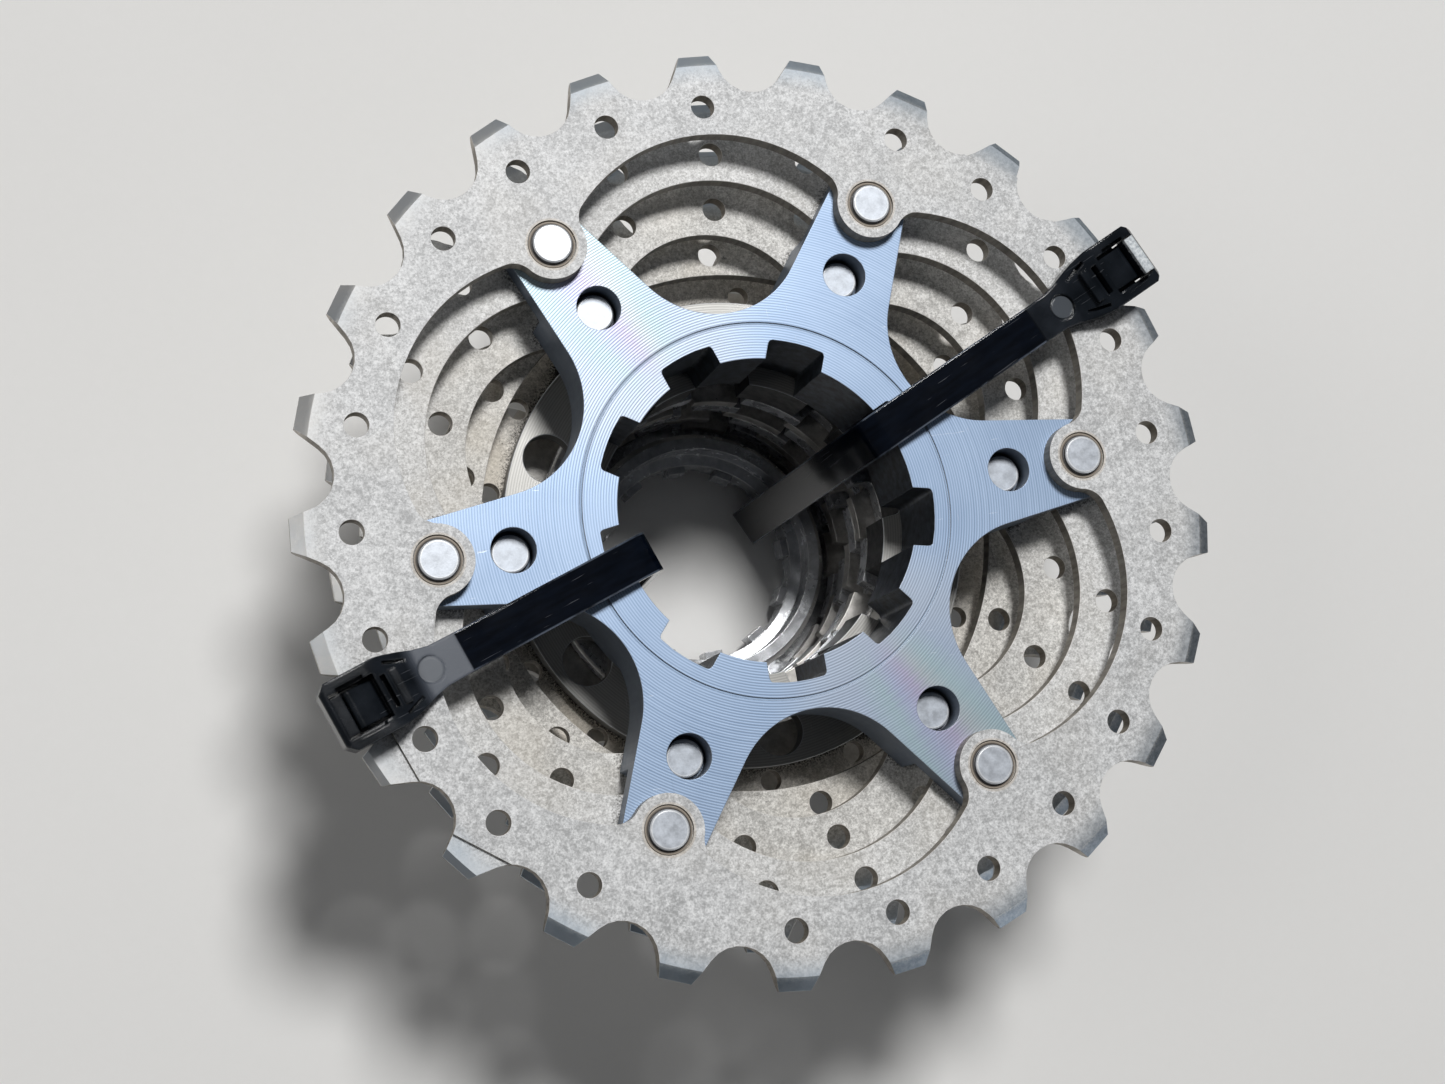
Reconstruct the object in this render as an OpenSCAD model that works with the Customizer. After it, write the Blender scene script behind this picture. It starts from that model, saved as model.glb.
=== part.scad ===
// Nine-speed bicycle cassette, big end up, held together by two cable ties.
// Origin: on the axis, in the face of the large carrier that seats against the
// freehub shoulder.  +Z points out of the big end, +X runs along one carrier arm.

/* [Sprockets] */
// Thickness of every sprocket plate, mm
plate_t = 1.78; // [1.6:0.02:1.8]
// Axial pitch from one sprocket to the next, mm
stack_pitch = 4.34; // [4.3:0.02:4.4]
// Chain pitch that the teeth are cut for, mm
chain_pitch = 12.7; // [12.65:0.05:12.75]
// Roller seat radius at the bottom of a tooth gap, mm
seat_r = 3.875; // [3.8:0.025:3.95]
// How far the tooth tips of the large sprockets stand past the pitch circle, mm
tip_h = 0.65; // [0.5:0.05:0.8]
// Radius of the round holes under the teeth of the large sprockets, mm
hole_r = 1.32; // [1.1:0.02:1.4]

/* [Splined bore] */
// Radius over the tips of the driving tabs, mm
tab_r = 16.75; // [16.7:0.05:17]
// Radius of the floors of the notches, mm
notch_r = 18.95; // [18.8:0.05:19]
// Width of a wide notch, mm
notch_w = 6.45; // [6:0.05:6.6]
// Width of the one narrow notch, mm
narrow_w = 4.6; // [4.4:0.1:5]

/* [Large carrier] */
// Radius of the outer rivet circle, mm
riv_out_r = 36.66; // [36.5:0.02:36.8]
// Radius of the inner rivet circle, mm
riv_in_r = 28.4; // [28.2:0.1:28.6]
// Radius of the thin turned groove in the seating face, mm
groove_r = 20.72; // [20.6:0.02:20.9]

/* [Lockring] */
// Outside radius of the lockring flange, mm
lock_flange_r = 18.3; // [17.5:0.1:18.6]
// Outside radius of the lockring thread, mm
lock_thread_r = 15.25; // [15:0.05:15.4]

/* [Cable ties] */
// Strap width, mm
strap_w = 4.5; // [4.3:0.1:4.8]
// Strap thickness, mm
strap_t = 1.2; // [1:0.1:1.2]
// Direction of the first tie, degrees
tie1_a = 198.5; // [198:0.1:198.8]
// Sideways offset of the first tie from the axis, mm
tie1_y = -2; // [-2.2:0.1:-1.6]
// Direction of the second tie, degrees
tie2_a = 24; // [23.4:0.1:24.4]

/* [Hidden] */

gap = 0.04;                                    // axial play between stacked pieces
// How far each loose piece has slipped round from the spline of the large carrier, degrees:
// small cluster, then spacer and sprocket by turns down to the 12 teeth sprocket
slip = [18, 14, -7, -10, 16, 11, -3, 7, -14];
function zb(i) = plate_t - i*stack_pitch;      // big-end face of sprocket i (0 = 25 teeth)
function pr(n) = chain_pitch/(2*sin(180/n));   // pitch radius of n teeth
function tip(n) = pr(n) + (n > 16 ? tip_h : tip_h + 0.4);
spl_first = 28.1;                              // direction of the first wide notch position
spl_narrow = 24.5;                             // direction of the narrow notch

// ---------- sprocket teeth ----------
// A tooth gap centred on direction g: trailing flank, roller seat, leading flank.
fl_a = 56;   // seat angle where the gentle flank starts
fl_b = 66;   // seat angle where the steep flank starts
function seat_pt(c, f) = [c - seat_r*cos(f), seat_r*sin(f)];
function flank_end(p, d, rt) =
    let (b = p[0]*d[0] + p[1]*d[1], k = -b + sqrt(b*b + rt*rt - p[0]*p[0] - p[1]*p[1])) p + k*d;
function rot2(p, a) = [p[0]*cos(a) - p[1]*sin(a), p[0]*sin(a) + p[1]*cos(a)];
function gap_pts(n, g) =
    let (c = pr(n), rt = tip(n),
         a = seat_pt(c, -fl_a), b = seat_pt(c, fl_b),
         ea = flank_end(a, [sin(fl_a), -cos(fl_a)], rt),
         eb = flank_end(b, [sin(fl_b), cos(fl_b)], rt))
    [for (p = concat([ea], [for (i = [0:8]) seat_pt(c, -fl_a + (fl_a + fl_b)*i/8)], [eb])) rot2(p, g)];
function teeth_pts(n, ph) = [for (k = [0:n-1]) each gap_pts(n, ph + 360/n*(k + 0.5))];

// Toothed blank: flat plate with the tooth tips bevelled, mostly on the big-end side.
module blank(n, ph) {
    rt = tip(n);
    intersection() {
        linear_extrude(plate_t) polygon(teeth_pts(n, ph));
        rotate_extrude($fn = 180)
            polygon([[0, 0], [rt - 0.5, 0], [rt + 0.02, 0.35], [rt + 0.02, plate_t*0.48],
                     [rt - 1.45, plate_t], [0, plate_t]]);
    }
}

// Ring of round holes, one under each tooth, leaving out those in skip.
module tooth_holes(n, ph, r, hr, skip = []) {
    for (k = [0:n-1]) if (len(search(k, skip)) == 0)
        rotate(ph + 360/n*k) translate([r, 0, -1]) cylinder(r = hr, h = plate_t + 2, $fn = 32);
}

// Six-lobed opening: large round scallops between the arms.
module scallops(c, r, core, h) {
    translate([0, 0, -1]) {
        for (k = [0:5]) rotate(30 + 60*k) translate([c, 0, 0]) cylinder(r = r, h = h + 2, $fn = 120);
        cylinder(r = core, h = h + 2, $fn = 96);
    }
}

// Web that blends a riveting tab into the scallop beside it.
// s: scallop centre distance, sr: scallop radius, t: tab centre distance, tr: tab radius, f: fillet radius
function circ2(p, a, q, b) =
    let (d = norm(q - p), x = (d*d + a*a - b*b)/(2*d), y = sqrt(a*a - x*x), u = (q - p)/d)
    p + x*u - y*[u[1], -u[0]];
module tab_fillet(s, sr, t, tr, f, h) {
    S = s*[cos(30), sin(30)];
    T = [t, 0];
    F = circ2(S, sr - f, T, tr + f);
    P1 = T + (F - T)*(tr/(tr + f));
    P2 = S + (F - S)*(sr/(sr - f));
    O = P2 + (P2 - S)*0.12;
    difference() {
        linear_extrude(h) polygon([T, P1, F, P2, O, [t + 2, 0]]);
        translate([F[0], F[1], -1]) cylinder(r = f + 0.012, h = h + 2, $fn = 64);
    }
}

// ---------- splined bore ----------
notch_f = 0.55;                                // corner radius at the floor of a notch
// Outline of one notch: straight sides, rounded corners, floor concentric with the bore.
function notch_pts(w) =
    let (y = w/2 - notch_f, x = sqrt(pow(notch_r - notch_f, 2) - y*y), t = atan2(y, x),
         c = [for (i = [0:3]) let (a = 90 - (90 - t)*i/3) [x + notch_f*cos(a), y + notch_f*sin(a)]])
    concat([[12, w/2]], c,
           [for (i = [1:3]) notch_r*[cos(t - t*i/2), sin(t - t*i/2)]],
           [for (i = [2:-1:0]) [c[i][0], -c[i][1]]], [[12, -w/2]]);
module spline_bore(h) {
    translate([0, 0, -1]) {
        cylinder(r = tab_r, h = h + 2, $fn = 180);
        for (k = [1:8]) rotate(spl_first + 40*k) linear_extrude(h + 2) polygon(notch_pts(notch_w));
        rotate(spl_narrow) linear_extrude(h + 2) polygon(notch_pts(narrow_w));
    }
}
module spline_ring(r, h, ch = 0.3) {
    difference() {
        rotate_extrude($fn = 180)
            polygon([[5, 0], [r - ch, 0], [r, ch], [r, h - ch], [r - ch, h], [5, h]]);
        spline_bore(h);
    }
}

// ---------- large cluster: 25, 23 and 21 teeth ----------
ph25 = 88.18;
module cog_25t() color([0.72, 0.70, 0.67]) translate([0, 0, zb(0) - plate_t]) difference() {
    union() {
        difference() { blank(25, ph25); scallops(22.8, 19.15, 30, plate_t); }
        for (k = [0:5]) rotate(60*k) {
            translate([riv_out_r, 0, 0]) cylinder(r = 3.85, h = plate_t, $fn = 72);
            tab_fillet(22.8, 19.15, riv_out_r, 3.85, 2.6, plate_t);
            mirror([0, 1, 0]) tab_fillet(22.8, 19.15, riv_out_r, 3.85, 2.6, plate_t);
        }
    }
    tooth_holes(25, ph25, 45.1, hole_r, [11, 24]);
    // rivet holes in the tabs
    for (k = [0:5]) rotate(60*k) translate([riv_out_r, 0, -1]) cylinder(r = 1.65, h = plate_t + 2, $fn = 48);
    for (k = [0:5]) rotate(60*k) translate([riv_out_r, 0, plate_t - 0.3]) cylinder(r = 2.66, h = 1, $fn = 64);
    // shift gates: the big-end side of four teeth is stepped back
    for (k = [8, 21]) rotate(ph25 + 360/25*k) gate(47.7, -4);
    for (k = [9, 22]) rotate(ph25 + 360/25*k) gate(48.3, 14);
    // lead-in ramps pressed into the small-end side
    for (k = [3, 15]) rotate(ph25 + 360/25*k + 5) translate([47.2, -3.4, -0.01]) cube([6, 6.8, 0.5]);
}
// Shallow step that starts at radius r and is turned by a degrees
module gate(r, a) translate([r, 0, plate_t - 0.42]) rotate(a) translate([0, -4.6, 0]) cube([8, 9.2, 1]);

ph23 = 8.09;
module cog_23t() color([0.66, 0.64, 0.60]) translate([0, 0, zb(1) - plate_t]) difference() {
    blank(23, ph23);
    scallops(21.5, 16.6, 32.6, plate_t);
    tooth_holes(23, ph23, 41.04, hole_r);
    for (k = [0:5]) rotate(60*k) translate([riv_out_r, 0, -1]) cylinder(r = 1.65, h = plate_t + 2, $fn = 48);
    for (k = [2, 13]) rotate(ph23 + 360/23*k) gate(44.0, 10);
}

ph21 = 16.53;
module cog_21t() color([0.64, 0.62, 0.58]) translate([0, 0, zb(2) - plate_t]) difference() {
    blank(21, ph21);
    scallops(20.95, 12.2, 24.6, plate_t);
    tooth_holes(21, ph21, 36.02, hole_r);
    for (k = [0:5]) rotate(60*k) translate([riv_in_r, 0, -1]) cylinder(r = 1.55, h = plate_t + 2, $fn = 48);
    for (k = [4, 14]) rotate(ph21 + 360/21*k) gate(39.9, 10);
}

// Opening between two arms: round floor, then straight flanks that spread outward.
win_c = 32.5;
win_r = 10.4;
win_f = 37.6;
module arm_windows(h) {
    tx = win_c - win_r*sin(win_f);
    ty = win_r*cos(win_f);
    far = 46;
    fy = ty + (far - tx)*tan(win_f);
    for (k = [0:5]) rotate(30 + 60*k) translate([0, 0, -1]) {
        translate([win_c, 0, 0]) cylinder(r = win_r, h = h + 2, $fn = 96);
        linear_extrude(h + 2) polygon([[tx, ty], [far, fy], [far, -fy], [tx, -ty]]);
    }
}
arm_top_t = stack_pitch - plate_t;             // upper arm plate between 25T and 23T
arm_low_z = zb(2);                             // underside of the arms, where 21T is riveted
hub_low_z = zb(3) + gap;                       // foot of the hub, just clear of the next cluster
module carrier_large() color([0.62, 0.70, 0.80]) difference() {
    union() {
        difference() {
            union() {
                translate([0, 0, -arm_top_t]) cylinder(r = 39.8, h = arm_top_t, $fn = 180);
                translate([0, 0, arm_low_z]) cylinder(r = 31.9, h = -arm_low_z - 1, $fn = 180);
            }
            translate([0, 0, arm_low_z]) arm_windows(-arm_low_z);
        }
        translate([0, 0, hub_low_z]) cylinder(r = 21.6, h = -hub_low_z - 0.5, $fn = 180);
    }
    translate([0, 0, hub_low_z]) spline_bore(-hub_low_z);
    // turned groove round the seating ring
    translate([0, 0, -0.16]) difference() {
        cylinder(r = groove_r + 0.13, h = 1, $fn = 180);
        translate([0, 0, -1]) cylinder(r = groove_r - 0.13, h = 3, $fn = 180);
    }
    for (k = [0:5]) rotate(60*k) {
        translate([riv_out_r, 0, -8]) cylinder(r = 1.65, h = 9, $fn = 48);
        translate([riv_in_r, 0, -3.4]) cylinder(r = 2.45, h = 5, $fn = 64);
        translate([riv_in_r, 0, -8]) cylinder(r = 1.55, h = 6, $fn = 48);
    }
}

// Rivet: shank with a low flange, a head and an upset tail
module rivet(zhead, hflange, rflange, hhead, rhead, rshank, ztail, rtail, htail) {
    rotate_extrude($fn = 64) polygon([
        [0, ztail - htail], [rtail - 0.35, ztail - htail], [rtail, ztail - htail + 0.35], [rtail, ztail],
        [rshank, ztail], [rshank, zhead], [rflange, zhead], [rflange, zhead + hflange],
        [rhead, zhead + hflange], [rhead, zhead + hhead - 0.14], [rhead - 0.16, zhead + hhead],
        [0, zhead + hhead]]);
}
module rivets_outer() color([0.80, 0.82, 0.85]) for (k = [0:5]) rotate(60*k) translate([riv_out_r, 0, 0])
    rivet(plate_t - 0.28, 0.12, 2.56, 0.66, 2.14, 1.6, zb(1) - plate_t - 0.02, 2.2, 0.85);
module rivets_inner() color([0.80, 0.82, 0.85]) for (k = [0:5]) rotate(60*k) translate([riv_in_r, 0, 0])
    rivet(-3.38, 0.2, 2.2, 1.2, 2.08, 1.5, zb(2) - plate_t - 0.02, 2.1, 0.8);

// ---------- small cluster: 19 and 17 teeth ----------
riv_b_r = 26.8;
ph19 = 9.19;
ph17 = 13.07;
module ring_tabs(n, ph, open_r, hr_r, hr) difference() {
    union() {
        difference() {
            blank(n, ph);
            translate([0, 0, -1]) cylinder(r = open_r, h = plate_t + 2, $fn = 180);
        }
        for (k = [0:5]) rotate(60*k) {
            translate([riv_b_r, 0, 0]) cylinder(r = 3.2, h = plate_t, $fn = 64);
            translate([riv_b_r, -3.2, 0]) cube([open_r + 0.6 - riv_b_r, 6.4, plate_t]);
        }
    }
    tooth_holes(n, ph, hr_r, hr);
    for (k = [0:5]) rotate(60*k) translate([riv_b_r, 0, -1]) cylinder(r = 1.55, h = plate_t + 2, $fn = 48);
}
module cog_19t() color([0.64, 0.61, 0.56]) translate([0, 0, zb(3) - plate_t]) ring_tabs(19, ph19, 29.6, 32.0, hole_r);
module cog_17t() color([0.62, 0.59, 0.54]) translate([0, 0, zb(4) - plate_t]) ring_tabs(17, ph17, 26.0, 28.35, 1.2);
module carrier_small() color([0.58, 0.62, 0.68]) {
    zw = zb(4) + gap/2;
    hw = stack_pitch - plate_t - gap;
    hlow = zb(4) - plate_t;
    difference() {
        union() {
            translate([0, 0, zw + 0.12]) cylinder(r = 26.9, h = hw - 0.24, $fn = 180);
            for (k = [0:5]) rotate(60*k) translate([riv_b_r, 0, zw]) cylinder(r = 3.3, h = hw, $fn = 64);
            translate([0, 0, hlow]) cylinder(r = 20.1, h = zb(3) - hlow, $fn = 180);
        }
        translate([0, 0, hlow]) rotate(slip[0]) spline_bore(zb(3) - hlow);
        for (k = [0:5]) rotate(60*k) {
            rotate(30) translate([23.15, 0, zw - 1]) cylinder(r = 2.75, h = hw + 2, $fn = 64);
            translate([riv_b_r, 0, zw - 1]) cylinder(r = 1.55, h = hw + 2, $fn = 48);
        }
    }
}
module rivets_small() color([0.78, 0.80, 0.83]) for (k = [0:5]) rotate(60*k) translate([riv_b_r, 0, 0])
    rivet(zb(3) + 0.02, 0.1, 2.15, 0.55, 2.0, 1.5, zb(4) - plate_t - 0.02, 2.0, 0.6);

// ---------- loose sprockets and spacers ----------
module small_cog(n, ph, i, a) translate([0, 0, zb(i) - plate_t]) difference() {
    blank(n, ph);
    rotate(a) spline_bore(plate_t);
}
module cog_15t() color([0.60, 0.59, 0.57]) small_cog(15, 4, 5, slip[2]);
module cog_14t() color([0.60, 0.59, 0.57]) small_cog(14, 11, 6, slip[4]);
module cog_13t() color([0.60, 0.59, 0.57]) small_cog(13, 2, 7, slip[6]);
module cog_12t() color([0.60, 0.59, 0.57]) difference() {
    small_cog(12, 9, 8, slip[8]);
    // knurled ring that the lockring bites on
    for (k = [0:59]) rotate(6*k) translate([16.9, 0, zb(8) - plate_t]) rotate([45, 0, 0])
        translate([-1, -0.18, -0.18]) cube([2.6, 0.36, 0.36]);
}
module spacer(r, i, a) translate([0, 0, zb(i) + gap]) rotate(a) spline_ring(r, stack_pitch - plate_t - 2*gap);
module spacer_17_15() color([0.70, 0.71, 0.72]) spacer(22.0, 5, slip[1]);
module spacer_15_14() color([0.70, 0.71, 0.72]) spacer(21.4, 6, slip[3]);
module spacer_14_13() color([0.70, 0.71, 0.72]) spacer(20.9, 7, slip[5]);
module spacer_13_12() color([0.70, 0.71, 0.72]) spacer(20.35, 8, slip[7]);

// ---------- lockring ----------
lock_z = zb(8) - plate_t - gap;                // inner face of the flange
lock_h = 1.84;                                 // flange thickness
lock_top = lock_z + 5.1;                       // top of the threaded sleeve
tp = 1.06;                                     // thread pitch, drawn as closed rings
module lockring() color([0.55, 0.56, 0.58]) difference() {
    union() {
        rotate_extrude($fn = 180) polygon(concat(
            [[12.0, lock_z - lock_h], [lock_flange_r - 0.5, lock_z - lock_h],
             [lock_flange_r, lock_z - lock_h + 0.5], [lock_flange_r, lock_z],
             [lock_thread_r - 0.6, lock_z]],
            [for (i = [0:3]) each [[lock_thread_r - 0.6, lock_z + 0.5 + tp*i],
                                   [lock_thread_r, lock_z + 0.8 + tp*i],
                                   [lock_thread_r, lock_z + 1.1 + tp*i],
                                   [lock_thread_r - 0.6, lock_z + 1.4 + tp*i]]],
            [[lock_thread_r - 0.6, lock_top], [13.3, lock_top], [13.3, lock_z + 1.9], [12.0, lock_z + 1.5]]));
        // twelve tool splines
        for (k = [0:11]) rotate(30*k) translate([11.1, -1.1, lock_z - lock_h + 0.25])
            cube([1.6, 2.2, lock_h + 1.1]);
    }
    // marks scraped by the tool at the mouth of each slot
    for (k = [0:11]) rotate(30*k + 15) translate([12.5, 0, lock_z - lock_h - 0.5]) cylinder(r = 0.9, h = 1.0, $fn = 24);
}

// ---------- cable ties ----------
slot_r = 51.3;                                 // where the strap comes up through the head
// Strap route in the plane of the tie, [radius, z, bend radius]: from the neck of the
// head over the big end, down the bore, under the small end and up outside to the slot.
function route(top) = [
    [43.0, 2.62, 0], [38.0, 2.45, 20], [14.35, 0.85, 2.0], [8.55, -37.45, 1.9],
    [26.2, -37.45, 2.2], [48.95, -4.5, 6], [slot_r, 1.3, 3], [slot_r, top, 0]];
function unit(v) = v/norm(v);
// Rounds each corner of a route with 6 chords
function smooth_route(p) = [for (i = [0:len(p)-1])
    each (i == 0 || i == len(p)-1 || p[i][2] == 0) ? [[p[i][0], p[i][1]]] :
    let (b = [p[i][0], p[i][1]], a = [p[i-1][0], p[i-1][1]], c = [p[i+1][0], p[i+1][1]],
         u = unit(a - b), v = unit(c - b), half = acos(u*v)/2, r = p[i][2],
         m = b + unit(u + v)*(r/sin(half)),
         s0 = b + u*(r/tan(half)) - m, s1 = b + v*(r/tan(half)) - m,
         a0 = atan2(s0[1], s0[0]), d = ((atan2(s1[1], s1[0]) - a0 + 540) % 360) - 180)
    [for (j = [0:6]) m + r*[cos(a0 + d*j/6), sin(a0 + d*j/6)]]];
function side_pts(q, o) = [for (i = [0:len(q)-1])
    let (u = i == 0 ? unit(q[1] - q[0]) : unit(q[i] - q[i-1]),
         v = i == len(q)-1 ? u : unit(q[i+1] - q[i]),
         n = unit([-u[1] - v[1], u[0] + v[0]]), k = n*[-u[1], u[0]])
    q[i] + n*(o/k)];
module strap(top) {
    q = smooth_route(route(top));
    o = side_pts(q, strap_t/2);
    i = side_pts(q, -strap_t/2);
    rotate([90, 0, 0]) translate([0, 0, -strap_w/2]) linear_extrude(strap_w)
        polygon(concat(o, [for (j = [len(i)-1:-1:0]) i[j]]));
}
head_z = 1.95;                                 // underside of the heads, just off the 25T face
head_top = 5.6;
module tie_head() {
    hw = 3.75;
    difference() {
        intersection() {
            // plan outline: strap, flared neck, square head with clipped corners
            translate([0, 0, head_z - 0.5]) linear_extrude(6) polygon([
                [37.4, -strap_w/2], [40.4, -strap_w/2 - 0.05], [42.0, -2.65], [43.6, -3.2], [45.0, -3.55], [46.2, -hw],
                [51.8, -hw], [52.7, -2.9], [52.7, 2.9], [51.8, hw], [46.2, hw], [45.0, 3.55],
                [43.6, 3.2], [42.0, 2.65], [40.4, strap_w/2 + 0.05], [37.4, strap_w/2]]);
            // side outline: thin neck that ramps up to the head
            rotate([90, 0, 0]) translate([0, 0, -6]) linear_extrude(12) polygon([
                [37.4, head_z - 0.05], [50.4, head_z], [52.7, head_z + 0.4], [52.7, head_top - 0.45],
                [52.25, head_top], [47.4, head_top], [46.0, head_top - 0.4], [44.3, 4.15], [42.4, 3.45],
                [40.0, 3.14], [37.4, 3.08]]);
        }
        // slot that the strap passes through
        translate([slot_r - 0.68, -2.45, head_z - 1]) cube([1.36, 4.9, 8]);
        // open cavity in front of the slot
        translate([47.0, -2.4, 3.3]) cube([4.0, 4.8, 6]);
        translate([48.0, -2.8, 4.6]) cube([3.0, 5.6, 6]);
        // narrow relief behind the root of the pawl
        translate([45.9, -1.8, 3.9]) cube([0.6, 3.6, 4]);
        // thin grooves in the cheeks beside the neck
        for (s = [-1, 1]) translate([43.3, s*2.1, 3.55]) rotate(s*19) translate([0, -0.17, 0]) cube([2.4, 0.34, 3]);
        // round ejector mark
        translate([41.2, 0, 3.0]) rotate([0, -6, 0]) cylinder(r = 1.45, h = 3, $fn = 48);
    }
    // ejector disc, a shade below the neck
    translate([41.2, 0, 2.6]) cylinder(r = 1.3, h = 0.6, $fn = 48);
    // raised bar across the root of the head
    translate([44.5, -1.95, 3.6]) cube([0.85, 3.9, 1.35]);
    // pawl with three teeth that lean on the strap
    rotate([90, 0, 0]) translate([0, 0, -2.0]) linear_extrude(4.0) polygon([
        [46.6, 2.9], [47.5, 2.95], [50.3, 3.75], [50.52, 4.05], [50.22, 4.2], [50.52, 4.5], [50.22, 4.65],
        [50.45, 4.95], [50.0, 5.1], [48.2, 4.5], [46.6, 3.8]]);
}
module cable_tie(top) {
    tie_head();
    strap(top);
}
module tie_1() color([0.05, 0.055, 0.065]) rotate(tie1_a) translate([0, tie1_y, 0]) cable_tie(4.7);
module tie_2() color([0.05, 0.055, 0.065]) rotate(tie2_a) cable_tie(6.3);

cog_25t();
cog_23t();
cog_21t();
carrier_large();
rivets_outer();
rivets_inner();
cog_19t();
cog_17t();
carrier_small();
rivets_small();
spacer_17_15();
cog_15t();
spacer_15_14();
cog_14t();
spacer_14_13();
cog_13t();
spacer_13_12();
cog_12t();
lockring();
tie_1();
tie_2();
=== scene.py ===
import math

import bpy
from mathutils import Matrix, Vector


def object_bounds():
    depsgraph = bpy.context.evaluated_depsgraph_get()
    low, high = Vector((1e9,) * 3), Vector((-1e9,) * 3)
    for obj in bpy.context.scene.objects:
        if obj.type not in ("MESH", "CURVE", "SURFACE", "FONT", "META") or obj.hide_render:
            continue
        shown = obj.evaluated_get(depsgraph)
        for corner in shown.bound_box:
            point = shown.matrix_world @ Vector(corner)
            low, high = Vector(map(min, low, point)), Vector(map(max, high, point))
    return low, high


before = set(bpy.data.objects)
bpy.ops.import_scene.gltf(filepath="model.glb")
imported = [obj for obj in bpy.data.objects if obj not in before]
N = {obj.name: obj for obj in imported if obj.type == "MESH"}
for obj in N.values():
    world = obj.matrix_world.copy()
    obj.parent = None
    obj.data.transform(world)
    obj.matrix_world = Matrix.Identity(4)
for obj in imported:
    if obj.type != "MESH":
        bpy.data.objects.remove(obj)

cad_lo, cad_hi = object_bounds()
scene = bpy.context.scene
scene.view_settings.view_transform = "Standard"
scene.view_settings.look = "None"

# ---------------------------------------------------------------- node helpers


class Mat:
    """Builds one procedural material. Lengths inside it are millimetres in the part's frame."""

    def __init__(self, name):
        self.m = bpy.data.materials.new(name)
        self.m.use_nodes = True
        self.t = self.m.node_tree
        self.t.nodes.clear()
        self.out = self.node("ShaderNodeOutputMaterial")
        self.b = self.node("ShaderNodeBsdfPrincipled")
        self.link(self.b.outputs[0], self.out.inputs[0])
        tc = self.node("ShaderNodeTexCoord")
        mm = self.node("ShaderNodeVectorMath", operation="SCALE")
        self.link(tc.outputs["Object"], mm.inputs[0])
        mm.inputs["Scale"].default_value = 1000.0
        self.P = mm.outputs[0]
        self.Nrm = tc.outputs["Normal"]
        s = self.node("ShaderNodeSeparateXYZ")
        self.link(self.P, s.inputs[0])
        self.x, self.y, self.z = s.outputs
        s = self.node("ShaderNodeSeparateXYZ")
        self.link(self.Nrm, s.inputs[0])
        self.nx, self.ny, self.nz = s.outputs
        self.anz = self.math("ABSOLUTE", self.nz)
        self._r = None

    def node(self, kind, **kw):
        n = self.t.nodes.new(kind)
        for k, v in kw.items():
            setattr(n, k, v)
        return n

    def link(self, a, b):
        self.t.links.new(a, b)

    def put(self, value, socket):
        if isinstance(value, (int, float)):
            socket.default_value = value
        elif isinstance(value, (tuple, list)):
            socket.default_value = tuple(value) + (1.0,) * (len(socket.default_value) - len(value))
        else:
            self.link(value, socket)

    def math(self, op, a, b=None, c=None, clamp=False):
        n = self.node("ShaderNodeMath", operation=op, use_clamp=clamp)
        for v, s in zip((a, b, c), n.inputs):
            if v is not None:
                self.put(v, s)
        return n.outputs[0]

    def r(self):
        if self._r is None:
            self._r = self.math("SQRT", self.math("ADD", self.math("MULTIPLY", self.x, self.x),
                                                   self.math("MULTIPLY", self.y, self.y)))
        return self._r

    def angle(self):
        return self.math("ARCTAN2", self.y, self.x)

    def fold(self, radius, count, first=0.0):
        """Distance from the nearest of count points on a circle."""
        step = 2 * math.pi / count
        a = self.math("ADD", self.angle(), 4 * math.pi + step / 2 - math.radians(first))
        a = self.math("SUBTRACT", self.math("MODULO", a, step), step / 2)
        u = self.math("SUBTRACT", self.math("MULTIPLY", self.r(), self.math("COSINE", a)), radius)
        v = self.math("MULTIPLY", self.r(), self.math("SINE", a))
        return self.math("SQRT", self.math("ADD", self.math("MULTIPLY", u, u), self.math("MULTIPLY", v, v)))

    def step(self, v, lo, hi):
        """0 below lo, 1 above hi, smooth between (lo may be the larger)."""
        n = self.node("ShaderNodeMapRange", interpolation_type="SMOOTHSTEP")
        self.put(v, n.inputs["Value"])
        if lo < hi:
            a, b, c, d = lo, hi, 0.0, 1.0
        else:
            a, b, c, d = hi, lo, 1.0, 0.0
        for k, w in zip(("From Min", "From Max", "To Min", "To Max"), (a, b, c, d)):
            n.inputs[k].default_value = w
        return n.outputs[0]

    def ramp_value(self, v, a, b, c, d):
        n = self.node("ShaderNodeMapRange")
        self.put(v, n.inputs["Value"])
        for k, w in zip(("From Min", "From Max", "To Min", "To Max"), (a, b, c, d)):
            n.inputs[k].default_value = w
        return n.outputs[0]

    def noise(self, scale, detail=3.0, rough=0.55, vec=None, seed=0.0, distort=0.0, stretch=None):
        """scale is features per millimetre."""
        v = vec if vec is not None else self.P
        if seed or stretch:
            m = self.node("ShaderNodeMapping")
            self.link(v, m.inputs[0])
            m.inputs["Location"].default_value = (seed * 13.1, seed * 7.7, seed * 3.3)
            if stretch:
                m.inputs["Scale"].default_value = stretch
            v = m.outputs[0]
        n = self.node("ShaderNodeTexNoise")
        self.link(v, n.inputs["Vector"])
        n.inputs["Scale"].default_value = scale
        n.inputs["Detail"].default_value = detail
        n.inputs["Roughness"].default_value = rough
        n.inputs["Distortion"].default_value = distort
        return n.outputs["Fac"] if "Fac" in n.outputs else n.outputs[0]

    def voronoi(self, scale, seed=0.0, feature="F1", out="Distance"):
        m = self.node("ShaderNodeMapping")
        self.link(self.P, m.inputs[0])
        m.inputs["Location"].default_value = (seed * 11.3, seed * 5.1, seed * 2.7)
        n = self.node("ShaderNodeTexVoronoi", feature=feature)
        self.link(m.outputs[0], n.inputs["Vector"])
        n.inputs["Scale"].default_value = scale
        return n.outputs[out]

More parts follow.
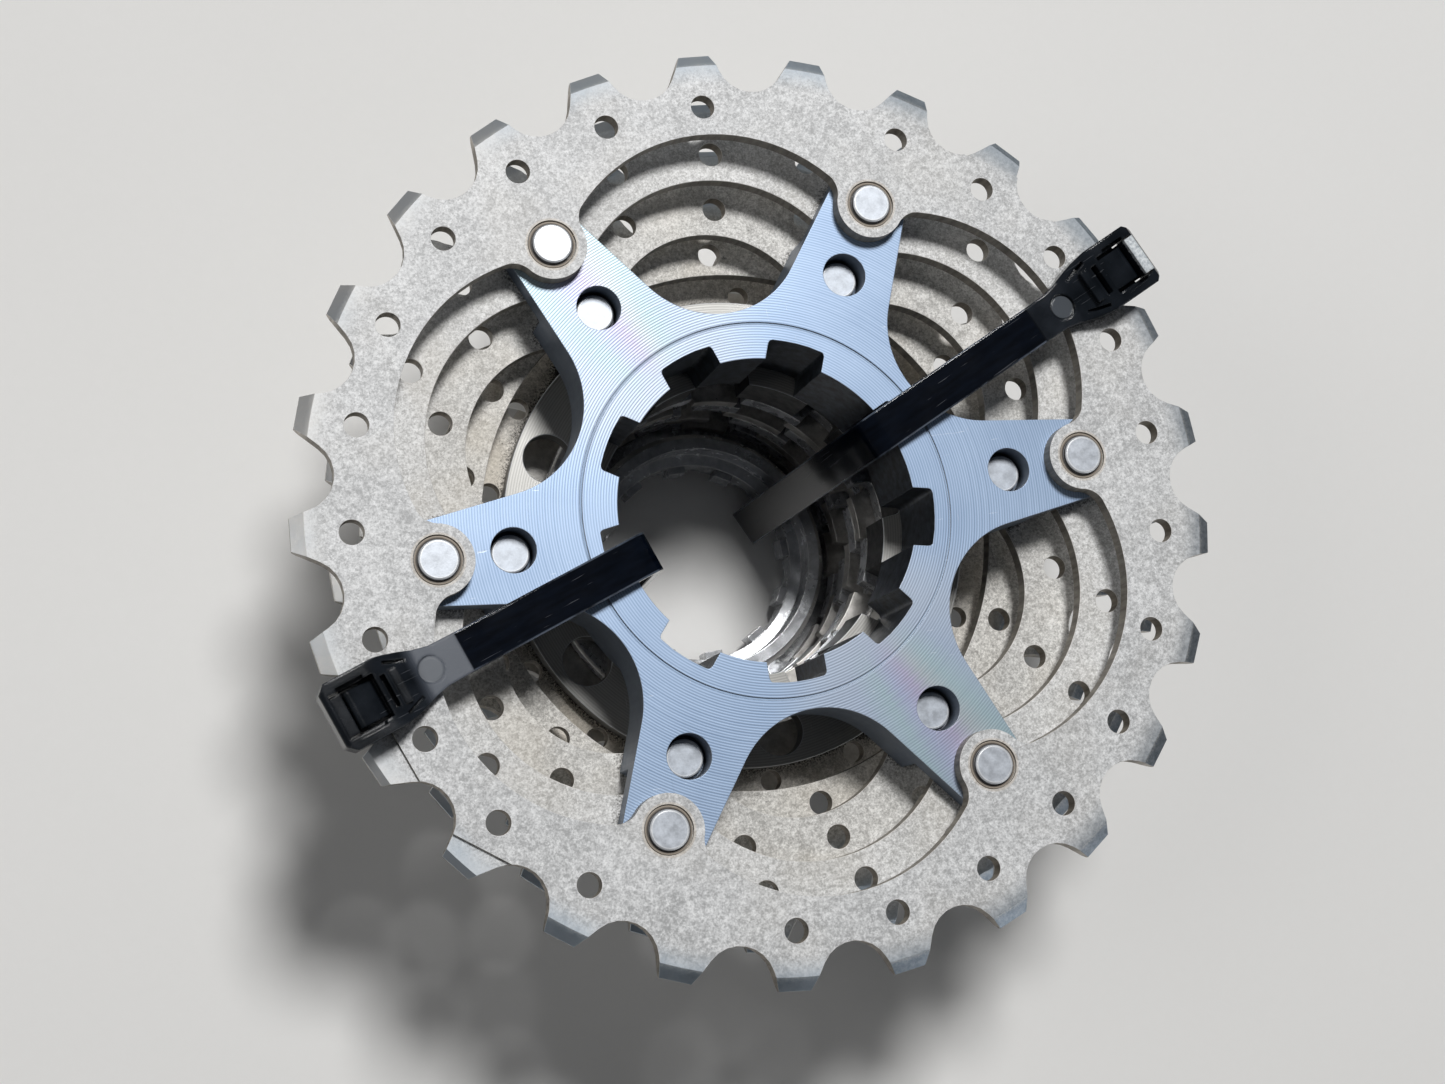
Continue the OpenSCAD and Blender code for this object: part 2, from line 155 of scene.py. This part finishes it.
    def mix(self, f, a, b, kind="MIX"):
        n = self.node("ShaderNodeMix", data_type="RGBA", blend_type=kind)
        self.put(f, n.inputs[0])
        self.put(a, n.inputs[6])
        self.put(b, n.inputs[7])
        return n.outputs[2]

    def ramp(self, v, stops):
        n = self.node("ShaderNodeValToRGB")
        self.put(v, n.inputs[0])
        e = n.color_ramp.elements
        while len(e) > 1:
            e.remove(e[-1])
        e[0].position, e[0].color = stops[0][0], tuple(stops[0][1]) + (1,)
        for p, c in stops[1:]:
            k = e.new(p)
            k.color = tuple(c) + (1,)
        return n.outputs[0]

    def ao(self, dist, samples=8):
        n = self.node("ShaderNodeAmbientOcclusion", samples=samples)
        n.inputs["Distance"].default_value = dist
        return n.outputs["AO"]

    def bump(self, height, distance_mm, strength=1.0, normal=None):
        n = self.node("ShaderNodeBump")
        n.inputs["Strength"].default_value = strength
        n.inputs["Distance"].default_value = distance_mm / 1000.0
        self.put(height, n.inputs["Height"])
        if normal is not None:
            self.link(normal, n.inputs["Normal"])
        return n.outputs[0]

    def soft_edge(self, radius_mm):
        """Normal that rolls over each sharp edge, as a broken edge does."""
        n = self.node("ShaderNodeBevel", samples=4)
        n.inputs["Radius"].default_value = radius_mm / 1000.0
        return n.outputs[0]

    def finish(self, color=None, metallic=None, rough=None, normal=None, **sockets):
        for v, k in ((color, "Base Color"), (metallic, "Metallic"), (rough, "Roughness"), (normal, "Normal")):
            if v is not None:
                self.put(v, self.b.inputs[k])
        for k, v in sockets.items():
            self.put(v, self.b.inputs[k.replace("_", " ")])
        return self.m


def mix1(m, f, a, b):
    """Number version of mix."""
    n = m.node("ShaderNodeMix", data_type="FLOAT")
    m.put(f, n.inputs[0])
    m.put(a, n.inputs[2])
    m.put(b, n.inputs[3])
    return n.outputs[0]


# ---------------------------------------------------------------- materials


def titanium(name, tip, light=(0.86, 0.868, 0.876), dark=(0.38, 0.385, 0.39), warm=0.25, grime_and_shade=0.25,
             rivet_r=None, seed=1.0, roughness=0.56, edge=(0.86, 0.835, 0.78), wall=(0.42, 0.38, 0.325)):
    """Bead-blasted plate: crystalline mottling, blue-grey tooth bevels, brassy cut edges."""
    m = Mat(name)
    grain = m.noise(1.5, 6.0, 0.78, seed=seed)
    fine = m.noise(4.4, 4.0, 0.78, seed=seed + 2)
    cloud = m.noise(0.16, 3.0, 0.55, seed=seed + 4)
    cells = m.voronoi(2.1, seed, out="Color")
    cs = m.node("ShaderNodeSeparateXYZ")
    m.link(cells, cs.inputs[0])
    mott = m.math("ADD", m.ramp_value(grain, 0.38, 0.62, 0.0, 0.72), m.math("MULTIPLY", cs.outputs[0], 0.18))
    mott = m.math("ADD", mott, m.math("MULTIPLY", m.math("SUBTRACT", fine, 0.5), 2.6))
    mott = m.math("ADD", mott, m.math("MULTIPLY", m.math("SUBTRACT", cloud, 0.5), 0.55), clamp=True)
    col = m.mix(mott, dark, light)
    # painted glints: single crystals drawn bright into the colour
    glint = m.step(m.math("ADD", grain, m.math("MULTIPLY", m.math("SUBTRACT", fine, 0.5), 0.9)), 0.66, 0.78)
    col = m.mix(m.math("MULTIPLY", glint, 0.55), col, (0.93, 0.93, 0.92))
    # faint straw tint in large soft patches
    tint = m.step(m.noise(0.085, 2.0, 0.5, seed=seed + 9), 0.45, 0.68)
    col = m.mix(m.math("MULTIPLY", tint, warm), col, (0.64, 0.56, 0.43), "MIX")
    # small dark stains, more of them where dirt settles, and painted shade darkening the hollows and corners
    spots = m.step(m.noise(0.95, 6.0, 0.75, seed=seed + 14), 0.68 - 0.10 * grime_and_shade, 0.76 - 0.08 * grime_and_shade)
    # painted shade: ambient occlusion darkens hollows, corners and the gaps between layers
    ao = m.ao(0.0022)
    hollow_shade = m.step(m.math("ADD", ao, m.math("MULTIPLY", m.math("SUBTRACT", fine, 0.5), 1.5)), 0.66, 0.40)
    stains_and_shade = m.math("MAXIMUM", m.math("MULTIPLY", spots, 0.30 + 0.5 * grime_and_shade),
                  m.math("MULTIPLY", hollow_shade, 0.35 + 0.9 * grime_and_shade), clamp=True)
    col = m.mix(stains_and_shade, col, (0.030, 0.026, 0.021))
    # scratches left by the chain, round the teeth
    scr = m.noise(0.9, 2.0, 0.5, seed=seed + 21, stretch=(1.0, 9.0, 1.0))
    scr = m.step(scr, 0.66, 0.74)
    col = m.mix(m.math("MULTIPLY", scr, 0.10), col, (0.85, 0.85, 0.84))
    # tooth bevels
    tooth = m.math("MULTIPLY", m.step(m.r(), tip - 1.95, tip - 1.35), m.step(m.anz, 0.985, 0.93))
    # painted reflection: bevels light on one side of the sprocket, dark blue-grey on the other
    painted_sheen = m.math("MULTIPLY", m.math("COSINE", m.math("SUBTRACT", m.angle(), math.radians(158.0))), 0.5)
    painted_sheen = m.math("ADD", m.math("ADD", painted_sheen, 0.5), m.math("MULTIPLY", m.math("SUBTRACT", cloud, 0.5), 0.7), clamp=True)
    bev = m.ramp(painted_sheen, [(0.0, (0.115, 0.14, 0.168)), (0.35, (0.23, 0.28, 0.33)), (0.62, (0.48, 0.56, 0.64)), (1.0, (0.84, 0.835, 0.82))])
    bev = m.mix(m.ramp_value(grain, 0.35, 0.65, 0.0, 0.30), bev, (0.66, 0.70, 0.74))
    fade = m.math("ADD", m.r(), m.math("MULTIPLY", m.math("SUBTRACT", fine, 0.5), 1.8))
    col = m.mix(m.math("MULTIPLY", m.step(fade, tip - 4.0, tip - 1.0), 0.80), col, bev)
    tooth = m.math("MULTIPLY", tooth, m.step(fade, tip - 2.4, tip - 0.9))
    col = m.mix(tooth, col, bev)
    # punched side walls, and a painted highlight as a bright line along each edge
    side = m.step(m.anz, 0.40, 0.15)
    streak = m.noise(1.8, 3.0, 0.6, seed=seed + 30, stretch=(1.0, 1.0, 0.15))
    wcol = m.mix(m.ramp_value(streak, 0.3, 0.7, 0.0, 1.0), tuple(0.45 * c for c in wall), wall)
    col = m.mix(side, col, wcol)
    rim_highlight = m.math("MULTIPLY", m.math("MULTIPLY", m.step(m.anz, 0.20, 0.45), m.step(m.anz, 0.965, 0.90)),
                 m.math("SUBTRACT", 1.0, tooth))
    col = m.mix(m.math("MULTIPLY", rim_highlight, 0.75), col, edge)
    if rivet_r:
        d = m.fold(rivet_r, 6)
        ring = m.math("MULTIPLY", m.step(d, 2.60, 2.68), m.step(d, 2.98, 2.80))
        col = m.mix(m.math("MULTIPLY", ring, 0.35), col, (0.62, 0.52, 0.40))
    rough = m.math("ADD", roughness, m.math("MULTIPLY", m.math("SUBTRACT", grain, 0.5), 0.35))
    rough = m.math("ADD", rough, m.math("MULTIPLY", stains_and_shade, 0.25))
    rough = m.math("SUBTRACT", rough, m.math("MULTIPLY", rim_highlight, 0.16))
    metal = m.math("SUBTRACT", mix1(m, tooth, 0.12, 0.80), m.math("MULTIPLY", stains_and_shade, 0.30), clamp=True)
    rough = mix1(m, tooth, rough, 0.33)
    h = m.math("ADD", m.math("MULTIPLY", fine, 0.6), m.math("MULTIPLY", grain, 0.9))
    nrm = m.bump(h, 0.030, 0.55)
    return m.finish(col, metal, rough, nrm)


def turned(name, light, dark, pitch=0.30, rough0=0.40, iridescent=0.0, seed=3.0, grime_and_shade=0.2, line=0.004):
    """Turned and anodised carrier: concentric tool lines, fine scratches, a painted rainbow sheen across the grain."""
    m = Mat(name)
    flat = m.step(m.anz, 0.80, 0.95)
    wave = m.math("SINE", m.math("MULTIPLY", m.r(), 2 * math.pi / pitch))
    lines = m.math("ADD", m.math("MULTIPLY", wave, 0.5), 0.5)
    coarse = m.noise(1.0, 2.0, 0.6, vec=None, seed=seed)
    # slow change of depth from ring to ring, the same all the way round
    cmb = m.node("ShaderNodeCombineXYZ")
    m.link(m.r(), cmb.inputs[0])
    rings = m.noise(2.3, 4.0, 0.7, vec=cmb.outputs[0])
    cloud = m.noise(0.11, 3.0, 0.5, seed=seed + 3)
    f = m.math("ADD", m.math("MULTIPLY", m.ramp_value(rings, 0.3, 0.7, 0.0, 1.0), 0.45),
               m.math("MULTIPLY", m.ramp_value(cloud, 0.3, 0.7, 0.0, 1.0), 0.35))
    f = m.math("ADD", m.math("MULTIPLY", f, 0.66), m.math("MULTIPLY", lines, 0.56), clamp=True)
    f = mix1(m, flat, m.ramp_value(coarse, 0.3, 0.7, 0.2, 0.8), f)
    col = m.mix(f, dark, light)
    # painted sheen: rainbow diffraction streaks across the arms
    if iridescent:
        t = m.math("SINE", m.math("SUBTRACT", m.angle(), math.radians(119.0)))
        t = m.math("ADD", t, m.math("MULTIPLY", m.math("SUBTRACT", rings, 0.5), 0.10))
        hue = m.ramp(m.ramp_value(t, -0.42, 0.42, 0.0, 1.0),
                     [(0.0, (1, 1, 1)), (0.22, (0.86, 0.93, 1.0)), (0.34, (0.80, 1.0, 0.86)), (0.42, (1.0, 0.96, 0.80)),
                      (0.50, (1.0, 0.70, 0.88)), (0.58, (0.88, 0.82, 1.0)), (0.66, (0.80, 1.0, 0.88)), (0.80, (0.92, 0.95, 1.0)), (1.0, (1, 1, 1))])
        band = m.math("MULTIPLY", flat, m.math("MULTIPLY", m.step(m.r(), 17.0, 24.0), iridescent))
        col = m.mix(band, col, hue, "MULTIPLY")
        # painted highlight: the colour paled along the 120° to 300° axis
        axis = m.math("ABSOLUTE", m.math("COSINE", m.math("SUBTRACT", m.angle(), math.radians(120.0))))
        pale = m.math("MULTIPLY", m.math("MULTIPLY", m.step(axis, 0.72, 0.99), flat), 0.60)
        col = m.mix(m.math("MULTIPLY", pale, 0.85), col, m.mix(m.math("MULTIPLY", lines, 0.5), (0.385, 0.405, 0.44), (0.50, 0.51, 0.535)))
        col = m.mix(m.math("MULTIPLY", band, 0.45), col, hue, "MULTIPLY")
    # light scratches and nicks
    s1 = m.step(m.noise(0.55, 3.0, 0.6, seed=seed + 8, stretch=(0.5, 6.0, 1.0), distort=0.6), 0.70, 0.74)
    s2 = m.step(m.noise(0.50, 3.0, 0.6, seed=seed + 12, stretch=(7.0, 0.45, 1.0), distort=0.5), 0.71, 0.75)
    scratch = m.math("MAXIMUM", s1, s2)
    col = m.mix(m.math("MULTIPLY", scratch, 0.35), col, (0.86, 0.88, 0.90))
    specks = m.step(m.noise(1.9, 4.0, 0.7, seed=seed + 17), 0.72, 0.76)
    # painted shade: ambient occlusion darkens hollows and corners, on top of dirt specks
    ao = m.ao(0.0016)
    hollow_shade = m.step(m.math("ADD", ao, m.math("MULTIPLY", m.math("SUBTRACT", coarse, 0.5), 0.4)), 0.50, 0.22)
    stains_and_shade = m.math("MAXIMUM", m.math("MULTIPLY", specks, 0.25 + 0.4 * grime_and_shade), m.math("MULTIPLY", hollow_shade, 0.4 + grime_and_shade), clamp=True)
    col = m.mix(stains_and_shade, col, (0.035, 0.035, 0.036))
    # the turned groove holds a blue shadow
    g = m.math("MULTIPLY", m.step(m.r(), 20.50, 20.60), m.step(m.r(), 20.94, 20.84))
    g = m.math("MULTIPLY", g, m.math("MULTIPLY", m.step(m.z, -0.35, -0.05), 0.9 if iridescent else 0.0))
    col = m.mix(m.math("MULTIPLY", g, 0.55), col, (0.10, 0.17, 0.27))
    # painted highlight: a pale line along the edge bevels
    rim_highlight = m.math("MULTIPLY", m.step(m.anz, 0.20, 0.45), m.step(m.anz, 0.965, 0.90))
    col = m.mix(m.math("MULTIPLY", rim_highlight, 0.6), col, (0.80, 0.85, 0.90))
    # painted shade: the side walls darkened
    side = m.step(m.anz, 0.40, 0.15)
    col = m.mix(m.math("MULTIPLY", side, 0.75), col, tuple(0.26 * sum(dark) / 3 + 0.12 * c for c in dark))
    # the splined bore painted near-black: painted shade
    bore = m.math("MULTIPLY", side, m.step(m.r(), 19.3, 18.9))
    col = m.mix(m.math("MULTIPLY", bore, m.ramp_value(coarse, 0.3, 0.7, 0.95, 0.55)), col, (0.016, 0.017, 0.020))
    rough = m.math("ADD", rough0, m.math("MULTIPLY", m.math("SUBTRACT", rings, 0.5), 0.22))
    rough = m.math("ADD", rough, m.math("MULTIPLY", stains_and_shade, 0.3))
    h = mix1(m, flat, m.math("MULTIPLY", coarse, 0.6), m.math("ADD", lines, m.math("MULTIPLY", rings, 0.8)))
    h = m.math("SUBTRACT", h, m.math("MULTIPLY", scratch, 0.5))
    nrm = m.bump(h, line, 1.0, m.soft_edge(0.12) if iridescent else None)
    return m.finish(col, m.math("SUBTRACT", 0.38, m.math("MULTIPLY", stains_and_shade, 0.3)), rough, nrm)


def rivet_metal(name, radius, head_r, flange_r, seed=5.0, bright=(0.66, 0.705, 0.775)):
    m = Mat(name)
    d = m.fold(radius, 6)
    patch = m.noise(0.95, 4.0, 0.65, seed=seed)
    fine = m.noise(5.0, 3.0, 0.7, seed=seed + 2)
    f = m.math("ADD", m.ramp_value(patch, 0.34, 0.66, 0.0, 0.75), m.math("MULTIPLY", m.math("SUBTRACT", fine, 0.5), 0.7), clamp=True)
    col = m.mix(f, tuple(0.66 * c for c in bright), bright)
    # painted highlight: a pale ring along the head's edge
    lip = m.math("MULTIPLY", m.step(d, head_r - 0.34, head_r - 0.20), m.step(d, head_r + 0.02, head_r - 0.10))
    col = m.mix(m.math("MULTIPLY", lip, 0.6), col, (0.88, 0.89, 0.90))
    # a dark brown grime ring round the head, with its side walls darkened as painted shade
    side = m.step(m.anz, 0.5, 0.2)
    grime_and_shade = m.math("MAXIMUM", m.step(d, head_r - 0.03, head_r + 0.06), m.math("MULTIPLY", side, 0.8))
    brown = m.mix(m.step(d, head_r + 0.1, flange_r), (0.040, 0.033, 0.028), (0.40, 0.345, 0.285))
    col = m.mix(grime_and_shade, col, brown)
    scr = m.step(m.noise(1.2, 3.0, 0.6, seed=seed + 9, stretch=(1.0, 8.0, 1.0), distort=0.8), 0.64, 0.70)
    col = m.mix(m.math("MULTIPLY", scr, 0.25), col, (0.86, 0.87, 0.88))
    rough = m.math("ADD", 0.40, m.math("MULTIPLY", m.math("SUBTRACT", patch, 0.5), 0.3))
    rough = m.math("ADD", rough, m.math("MULTIPLY", grime_and_shade, 0.2))
    h = m.math("ADD", patch, m.math("MULTIPLY", fine, 0.35))
    return m.finish(col, m.math("SUBTRACT", 0.34, m.math("MULTIPLY", grime_and_shade, 0.2)), rough,
                    m.bump(h, 0.02, 0.5, m.soft_edge(0.10)))


def plated(name, light, dark, seed=7.0, rough0=0.36, grime_and_shade=0.35, tip=None):
    """Satin plated steel, corners and hollows darkened as painted shade."""
    m = Mat(name)
    patch = m.noise(0.45, 4.0, 0.62, seed=seed)
    fine = m.noise(3.6, 4.0, 0.7, seed=seed + 1)
    brush = m.noise(2.2, 3.0, 0.6, seed=seed + 6, stretch=(1.0, 1.0, 7.0))
    f = m.math("ADD", m.ramp_value(patch, 0.33, 0.67, 0.0, 0.7), m.math("MULTIPLY", m.math("SUBTRACT", fine, 0.5), 0.55))
    f = m.math("ADD", f, m.math("MULTIPLY", m.math("SUBTRACT", brush, 0.5), 0.4), clamp=True)
    col = m.mix(f, dark, light)
    # painted shade: ambient occlusion darkens hollows and corners; dark stains on top
    ao = m.ao(0.0025)
    hollow_shade = m.step(m.math("ADD", ao, m.math("MULTIPLY", m.math("SUBTRACT", patch, 0.5), 0.6)), 0.60, 0.25)
    spots = m.step(m.noise(0.8, 6.0, 0.75, seed=seed + 11), 0.63, 0.72)
    stains_and_shade = m.math("MAXIMUM", m.math("MULTIPLY", hollow_shade, 0.35 + grime_and_shade), m.math("MULTIPLY", spots, 0.55), clamp=True)
    col = m.mix(stains_and_shade, col, (0.022, 0.019, 0.016))
    if tip:
        tooth = m.math("MULTIPLY", m.step(m.r(), tip - 1.95, tip - 1.35), m.step(m.anz, 0.985, 0.93))
        col = m.mix(m.math("MULTIPLY", tooth, 0.7), col, (0.22, 0.245, 0.27))
    # painted highlight: a pale line along the edge bevels
    rim_highlight = m.math("MULTIPLY", m.step(m.anz, 0.20, 0.45), m.step(m.anz, 0.965, 0.90))
    col = m.mix(m.math("MULTIPLY", rim_highlight, 0.6), col, (0.82, 0.80, 0.76))
    rough = m.math("ADD", rough0, m.math("MULTIPLY", m.math("SUBTRACT", patch, 0.5), 0.3))
    rough = m.math("ADD", rough, m.math("MULTIPLY", stains_and_shade, 0.25))
    h = m.math("ADD", m.math("MULTIPLY", fine, 0.8), m.math("MULTIPLY", brush, 0.7))
    return m.finish(col, m.math("SUBTRACT", 0.60, m.math("MULTIPLY", stains_and_shade, 0.4)), rough, m.bump(h, 0.018, 0.5, m.soft_edge(0.08)))


def nylon(name, angle_deg, side_mm, cut_end, pale_neck, head_rough):
    """Moulded black nylon: glossy strap, satin head, soft flow marks; the cut end is stress-whitened."""
    m = Mat(name)
    mp = m.node("ShaderNodeMapping", vector_type="TEXTURE")
    m.link(m.P, mp.inputs[0])
    a = math.radians(angle_deg)
    mp.inputs["Rotation"].default_value = (0, 0, a)
    mp.inputs["Location"].default_value = (-side_mm * math.sin(a), side_mm * math.cos(a), 0)
    s = m.node("ShaderNodeSeparateXYZ")
    m.link(mp.outputs[0], s.inputs[0])
    u, v, w = s.outputs
    head = m.math("MULTIPLY", m.step(u, 37.2, 37.45), m.step(w, 1.6, 1.8))
    soft = m.noise(0.35, 3.0, 0.5, vec=mp.outputs[0], seed=2.0)
    fine = m.noise(6.0, 4.0, 0.7, vec=mp.outputs[0], seed=5.0)
    flow = m.noise(1.3, 3.0, 0.6, vec=mp.outputs[0], seed=8.0, stretch=(0.18, 1.0, 0.18))
    strap_col = m.mix(m.ramp_value(flow, 0.35, 0.65, 0.0, 1.0), (0.0010, 0.0018, 0.0040), (0.0028, 0.0048, 0.0100))
    head_col = m.mix(m.ramp_value(soft, 0.35, 0.65, 0.0, 1.0), (0.0050, 0.0068, 0.0095), (0.0120, 0.0150, 0.0200))
    neck = m.math("MULTIPLY", head, m.step(u, 43.6, 41.6))
    head_col = m.mix(m.math("MULTIPLY", neck, pale_neck), head_col, (0.098, 0.114, 0.145))
    disc = m.math("SUBTRACT", u, 41.2)
    disc = m.math("SQRT", m.math("ADD", m.math("MULTIPLY", disc, disc), m.math("MULTIPLY", v, v)))
    head_col = m.mix(m.math("MULTIPLY", m.math("MULTIPLY", m.step(disc, 1.36, 1.22), head), 0.55), head_col, (0.13, 0.145, 0.165))
    col = m.mix(head, strap_col, head_col)
    # wear: pale rubbed spots and hair scratches along the strap
    rub = m.step(m.noise(0.9, 5.0, 0.7, vec=mp.outputs[0], seed=12.0, stretch=(0.35, 1.6, 0.35)), 0.70, 0.80)
    col = m.mix(m.math("MULTIPLY", rub, 0.22), col, (0.16, 0.17, 0.19))
    scr = m.step(m.noise(1.6, 2.0, 0.5, vec=mp.outputs[0], seed=16.0, stretch=(0.10, 3.0, 0.10), distort=0.3), 0.70, 0.73)
    col = m.mix(m.math("MULTIPLY", scr, 0.30), col, (0.20, 0.21, 0.23))
    # painted highlight: a thin paler line along both long edges of the strap, broken into patches
    painted_sheen = m.step(m.noise(0.22, 3.0, 0.6, vec=mp.outputs[0], seed=27.0), 0.36, 0.56)
    edge = m.math("MULTIPLY", m.step(m.math("ABSOLUTE", v), 2.00, 2.17), m.math("SUBTRACT", 1.0, head))
    edge = m.math("MULTIPLY", edge, m.math("MULTIPLY", painted_sheen, 0.62))
    col = m.mix(edge, col, (0.150, 0.185, 0.245))
    rough = mix1(m, head, 0.11, head_rough)
    rough = m.math("ADD", rough, m.math("MULTIPLY", neck, 0.22 * pale_neck))
    if cut_end:
        rag = m.noise(2.6, 4.0, 0.7, vec=mp.outputs[0], seed=22.0)
        white = m.math("MULTIPLY", m.step(m.math("ADD", w, m.math("MULTIPLY", m.math("SUBTRACT", rag, 0.5), 0.7)), 5.72, 5.95), m.step(u, 50.4, 50.55))
        col = m.mix(white, col, m.mix(m.ramp_value(rag, 0.35, 0.65, 0.0, 1.0), (0.36, 0.40, 0.44), (0.80, 0.84, 0.86)))
        rough = m.math("ADD", rough, m.math("MULTIPLY", white, 0.35))
    rough = m.math("ADD", rough, m.math("MULTIPLY", m.math("SUBTRACT", soft, 0.5), 0.08))
    h = m.math("ADD", m.math("MULTIPLY", fine, mix1(m, head, 0.05, 0.8)), m.math("MULTIPLY", flow, 0.25))
    h = m.math("ADD", h, m.math("MULTIPLY", soft, 0.7))
    return m.finish(col, 0.0, rough, m.bump(h, 0.022, 0.5, m.soft_edge(0.34)), IOR=1.50)


def floor_mat():
    m = Mat("pale_floor")
    a = m.noise(0.012, 3.0, 0.5)
    b = m.noise(0.9, 3.0, 0.6, seed=4.0)
    col = m.mix(m.math("ADD", m.math("MULTIPLY", a, 0.7), m.math("MULTIPLY", b, 0.3)), (0.80, 0.795, 0.78), (0.86, 0.855, 0.845))
    return m.finish(col, 0.0, 0.75, m.bump(b, 0.03, 0.3))


def tip_radius(teeth):
    return 6.35 / math.sin(math.pi / teeth) + (0.65 if teeth > 16 else 1.05)


MAT = {
    "cog_25t": titanium("plate_25", tip_radius(25), rivet_r=36.66, seed=1.0, warm=0.07, grime_and_shade=0.12),
    "cog_23t": titanium("plate_23", tip_radius(23), seed=2.0, warm=0.14, grime_and_shade=0.42,
                        light=(0.90, 0.90, 0.895), dark=(0.40, 0.398, 0.39)),
    "cog_21t": titanium("plate_21", tip_radius(21), seed=3.0, warm=0.18, grime_and_shade=0.62,
                        light=(0.90, 0.89, 0.865), dark=(0.37, 0.362, 0.345)),
    "cog_19t": titanium("plate_19", tip_radius(19), seed=4.0, warm=0.26, grime_and_shade=0.72,
                        light=(0.88, 0.86, 0.82), dark=(0.35, 0.338, 0.315)),
    "cog_17t": titanium("plate_17", tip_radius(17), seed=5.0, warm=0.32, grime_and_shade=0.78,
                        light=(0.78, 0.745, 0.69), dark=(0.34, 0.32, 0.29)),
    "carrier_large": turned("anodised_blue", (0.43, 0.55, 0.735), (0.20, 0.295, 0.455), iridescent=0.70, line=0.006),
    "carrier_small": turned("anodised_grey", (0.50, 0.495, 0.475), (0.31, 0.305, 0.29), seed=6.0, grime_and_shade=0.55, rough0=0.42),
    "rivets_outer": rivet_metal("rivet_outer", 36.66, 2.14, 2.56),
    "rivets_inner": rivet_metal("rivet_inner", 28.4, 2.08, 2.2, seed=6.0, bright=(0.64, 0.69, 0.765)),
    "rivets_small": rivet_metal("rivet_small", 26.8, 2.0, 2.15, seed=7.0, bright=(0.64, 0.64, 0.63)),
    "lockring": plated("lockring_steel", (0.80, 0.82, 0.85), (0.42, 0.43, 0.45), seed=20.0, rough0=0.24, grime_and_shade=0.35),
}
for k, (n, t) in enumerate((("cog_15t", 15), ("cog_14t", 14), ("cog_13t", 13), ("cog_12t", 12))):
    MAT[n] = plated("plated_%d" % t, (0.82, 0.80, 0.765), (0.44, 0.425, 0.40), seed=8.0 + k, tip=tip_radius(t))
for k, n in enumerate(("spacer_17_15", "spacer_15_14", "spacer_14_13", "spacer_13_12")):
    MAT[n] = plated("spacer_alloy_%d" % k, (0.80, 0.815, 0.845), (0.48, 0.49, 0.515), seed=14.0 + k, rough0=0.28, grime_and_shade=0.25)
MAT["tie_1"] = nylon("nylon_1", 198.5, -2.0, False, 0.80, 0.20)
MAT["tie_2"] = nylon("nylon_2", 24.0, 0.0, True, 0.04, 0.12)

for n, o in N.items():
    o.data.materials.clear()
    o.data.materials.append(MAT[n])
    for p in o.data.polygons:
        p.material_index = 0

# ---------------------------------------------------------------- broken edges

# wider bevels than these throw spikes where thin facets meet on the 25T, the 12T and the ties
EDGE = {"cog_25t": 0.04, "cog_12t": 0.015, "cog_23t": 0.09, "cog_21t": 0.07, "carrier_large": 0.03, "carrier_small": 0.12,
        "cog_19t": 0.07, "cog_17t": 0.07, "lockring": 0.045, "tie_1": 0.01, "tie_2": 0.01,
        "rivets_outer": 0.04, "rivets_inner": 0.04, "rivets_small": 0.04}
for n, o in N.items():
    # the imported corner normals fan out round every hole, so they are dropped before the bevel
    custom = o.data.attributes.get("custom_normal")
    if custom is not None:
        o.data.attributes.remove(custom)
    for p in o.data.polygons:
        p.use_smooth = True
    w = o.modifiers.new("weld", "WELD")
    w.merge_threshold = 2e-6
    b = o.modifiers.new("edges", "BEVEL")
    b.width = EDGE.get(n, 0.09) / 1000.0
    b.segments = 2
    b.limit_method = "ANGLE"
    b.angle_limit = math.radians(32)
    b.use_clamp_overlap = False
    b.harden_normals = True

# ---------------------------------------------------------------- stage, lights, camera

lo, hi = cad_lo, cad_hi
mesh = bpy.data.meshes.new("floor")
q = 1.6
base = lo.z - 0.0001
mesh.from_pydata([(-q, -q, base), (q, -q, base), (q, q, base), (-q, q, base)], [], [(0, 1, 2, 3)])
floor = bpy.data.objects.new("floor", mesh)
scene.collection.objects.link(floor)
mesh.materials.append(floor_mat())


def area(name, direction, dist, size, power, color=(1, 1, 1), aim=(0, 0, -0.01)):
    li = bpy.data.lights.new(name, "AREA")
    li.shape = "DISK"
    li.size = size
    li.energy = power
    li.color = color
    ob = bpy.data.objects.new(name, li)
    scene.collection.objects.link(ob)
    d = Vector(direction).normalized()
    ob.location = Vector(aim) + d * dist
    ob.rotation_mode = "QUATERNION"
    ob.rotation_quaternion = (-d).to_track_quat("-Z", "Y")
    return ob


area("key", (0.113, 0.423, 0.899), 1.40, 0.34, 15.5, (1.0, 0.995, 0.985))
area("left", (-0.745, 0.13, 0.644), 1.20, 0.50, 1.3, (1.0, 0.98, 0.95))
area("low", (0.62, -0.76, 0.20), 1.30, 0.80, 2.2, (0.95, 0.97, 1.0))

world = bpy.data.worlds.new("studio")
scene.world = world
world.use_nodes = True
bg = world.node_tree.nodes["Background"]
bg.inputs[0].default_value = (0.86, 0.91, 1.0, 1.0)
bg.inputs[1].default_value = 0.04

cam = bpy.data.cameras.new("camera")
cam.lens = 57.475
cam.sensor_width = 36.0
cam.sensor_fit = "HORIZONTAL"
cam.clip_start, cam.clip_end = 0.01, 20.0
cam_ob = bpy.data.objects.new("camera", cam)
scene.collection.objects.link(cam_ob)
right = Vector((0.94712156, -0.20033629, 0.2506514))
up = Vector((0.15747122, 0.97081186, 0.18090647))
fwd = Vector((0.27957748, 0.13187004, -0.95102404))
rot = Matrix((right, up, -fwd)).transposed()
cam_ob.matrix_world = Matrix.Translation((-0.075091, -0.035389, 0.235336)) @ rot.to_4x4()
scene.camera = cam_ob
